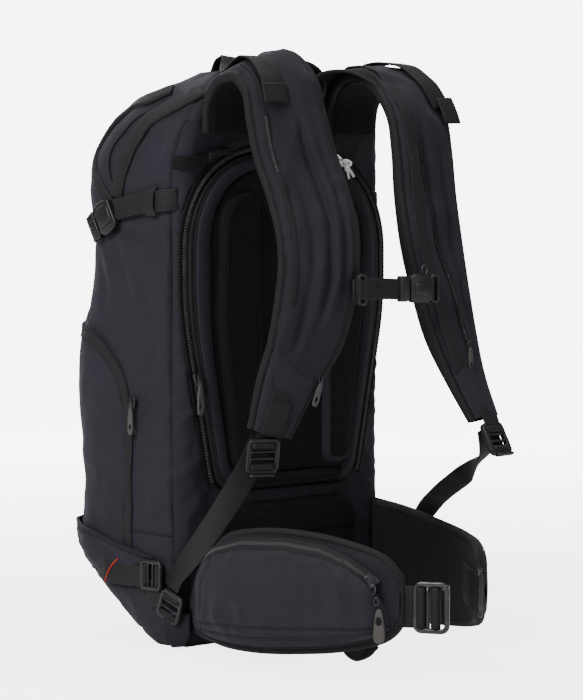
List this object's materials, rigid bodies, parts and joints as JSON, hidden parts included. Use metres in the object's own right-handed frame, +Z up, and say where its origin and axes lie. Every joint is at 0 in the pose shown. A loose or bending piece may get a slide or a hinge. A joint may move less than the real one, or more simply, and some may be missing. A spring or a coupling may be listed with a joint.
{
  "type": "avalanche airbag backpack",
  "caption": "Back-opening ski touring backpack with padded harness, hip belt, compression straps and a stowed airbag with its gas release.",
  "frame": {"origin": "on the flat base, in the middle of the back panel's plane", "axes": "+Z up along the pack's height, -Y out of the back panel towards the wearer, +X to the wearer's left"},
  "size_m": [0.3459, 0.4773, 0.5876],
  "materials": {
    "accent": "woven",
    "airbag": "coated nylon",
    "back_foam": "matte knitted mesh over foam",
    "cartridge": "satin",
    "cord": "braided",
    "frame_alloy": "brushed",
    "mesh": "matte spacer mesh",
    "metal": "dark coated, satin",
    "plastic": "satin moulded acetal",
    "pull_rubber": "matte",
    "release": "satin",
    "ripstop": "matte ripstop nylon",
    "strap_fabric": "matte padded nylon",
    "webbing": "woven, slight sheen",
    "zip": "satin coil zip"
  },
  "bodies": {
    "pack": {"base_panel": "ripstop", "top_panel": "ripstop", "side_panel_right": "ripstop", "side_panel_left": "ripstop", "front_panel": "ripstop", "back_wall": "mesh", "lower_flap": "ripstop", "front_pocket": "ripstop", "top_pocket": "ripstop", "airbag_shelf": "ripstop", "airbag_folded": "airbag", "gas_cartridge": "cartridge", "inflation_unit": "metal", "frame_hoop": "frame_alloy", "lumbar_pad": "mesh", "back_zip": "zip", "shoulder_strap_right": "strap_fabric", "shoulder_strap_left": "strap_fabric", "release_cable": "plastic", "adjuster_webbing_right": "webbing", "adjuster_webbing_left": "webbing", "load_lifters": "webbing", "base_adjusters": "plastic", "compression_tongues": "plastic", "lower_webbing": "webbing", "lower_adjusters": "plastic", "accent_loops": "accent", "side_zips": "zip", "pull_cord_upper": "cord", "pull_cord_lower": "cord", "pull_cord_knot": "cord"},
    "back_door": {"back_door": "back_foam", "door_stiffener": "plastic", "back_pads": "back_foam"},
    "back_zip_slider": {"back_zip_slider": "zip"},
    "back_zip_pull": {"back_zip_pull": "pull_rubber"},
    "release_handle": {"release_handle": "release"},
    "strap_adjuster_right": {"strap_adjuster_right": "plastic"},
    "strap_adjuster_left": {"strap_adjuster_left": "plastic"},
    "grab_handle": {"grab_handle": "webbing"},
    "sternum_right": {"sternum_slider_right": "plastic"},
    "sternum_tongue": {"sternum_tongue": "plastic", "sternum_webbing": "webbing"},
    "sternum_left": {"sternum_slider_left": "plastic", "sternum_socket": "plastic"},
    "hip_wing_right": {"hip_wing_right": "mesh", "hip_pocket": "ripstop", "hip_pocket_zip": "zip", "hip_webbing_right": "webbing"},
    "hip_wing_left": {"hip_wing_left": "mesh", "hip_webbing_left": "webbing"},
    "hip_buckle_frame": {"hip_buckle_frame": "metal"},
    "hip_buckle_ladder": {"hip_buckle_ladder": "plastic"},
    "leg_loop": {"leg_loop": "webbing"},
    "compression_right": {"compression_webbing_right": "webbing", "compression_socket_right": "plastic"},
    "compression_left": {"compression_webbing_left": "webbing", "compression_socket_left": "plastic"},
    "side_zip_slider": {"side_zip_slider": "zip"},
    "side_zip_pull": {"side_zip_pull": "pull_rubber"}
  },
  "joints": [
    {"name": "back_door_open", "type": "hinge", "parent": "pack", "child": "back_door", "pos_m": [0, -0.008, 0.15], "axis": [1, 0, 0], "range_deg": [0, 10]},
    {"name": "back_zip_run", "type": "slide", "parent": "pack", "child": "back_zip_slider", "axis": [-0.2066, 0, 0.9784], "range_m": [-0.03, 0.03]},
    {"name": "back_zip_pull_swing", "type": "hinge", "parent": "back_zip_slider", "child": "back_zip_pull", "pos_m": [-0.1224, -0.0144, 0.259], "axis": [-1, 0, 0], "range_deg": [0, 60]},
    {"name": "release_handle_pull", "type": "slide", "parent": "pack", "child": "release_handle", "axis": [0.0404, -0.2369, -0.9707], "range_m": [0, 0.015]},
    {"name": "strap_adjuster_right_tilt", "type": "hinge", "parent": "pack", "child": "strap_adjuster_right", "pos_m": [-0.0986, -0.074, 0.19], "axis": [0.9061, -0.4231, 0], "range_deg": [0, 20]},
    {"name": "strap_adjuster_left_tilt", "type": "hinge", "parent": "pack", "child": "strap_adjuster_left", "pos_m": [0.094, -0.203, 0.203], "axis": [0.995, 0.0995, 0], "range_deg": [0, 20]},
    {"name": "grab_handle_fold", "type": "hinge", "parent": "pack", "child": "grab_handle", "pos_m": [0, -0.022, 0.543], "axis": [1, 0, 0], "range_deg": [0, 75]},
    {"name": "sternum_height_right", "type": "slide", "parent": "pack", "child": "sternum_right", "axis": [0, 0, 1], "range_m": [-0.015, 0.015]},
    {"name": "sternum_height_left", "type": "slide", "parent": "pack", "child": "sternum_left", "axis": [0, 0, 1], "range_m": [-0.015, 0.015]},
    {"name": "sternum_release", "type": "slide", "parent": "sternum_right", "child": "sternum_tongue", "axis": [-0.9952, 0.098, 0], "range_m": [0, 0.012]},
    {"name": "hip_wing_right_fold", "type": "hinge", "parent": "pack", "child": "hip_wing_right", "pos_m": [-0.126, -0.009, 0.055], "axis": [0, 0, 1], "range_deg": [-4, 20]},
    {"name": "hip_wing_left_fold", "type": "hinge", "parent": "pack", "child": "hip_wing_left", "pos_m": [0.126, -0.009, 0.055], "axis": [0, 0, -1], "range_deg": [-4, 20]},
    {"name": "hip_frame_turn", "type": "hinge", "parent": "hip_wing_right", "child": "hip_buckle_frame", "pos_m": [-0.105, -0.2759, 0.066], "axis": [0, 0, 1], "range_deg": [-35, 35]},
    {"name": "hip_ladder_turn", "type": "hinge", "parent": "hip_wing_left", "child": "hip_buckle_ladder", "pos_m": [0.0844, -0.1907, 0.054], "axis": [0, 0, 1], "range_deg": [-35, 35]},
    {"name": "leg_loop_swing", "type": "hinge", "parent": "hip_wing_right", "child": "leg_loop", "pos_m": [-0.118, -0.205, 0.019], "axis": [0, 1, 0], "range_deg": [-20, 20]},
    {"name": "compression_right_release", "type": "slide", "parent": "pack", "child": "compression_right", "axis": [0, -1, 0], "range_m": [0, 0.012]},
    {"name": "compression_left_release", "type": "slide", "parent": "pack", "child": "compression_left", "axis": [0, -1, 0], "range_m": [0, 0.012]},
    {"name": "side_zip_run", "type": "slide", "parent": "pack", "child": "side_zip_slider", "axis": [0, 0, -1], "range_m": [0, 0.1]},
    {"name": "side_zip_pull_swing", "type": "hinge", "parent": "side_zip_slider", "child": "side_zip_pull", "pos_m": [-0.1538, 0.054, 0.236], "axis": [0, 1, 0], "range_deg": [0, 60]}
  ],
  "couplings": [
    {"joint": "sternum_height_left", "follows": "sternum_height_right", "ratio": 1}
  ]
}
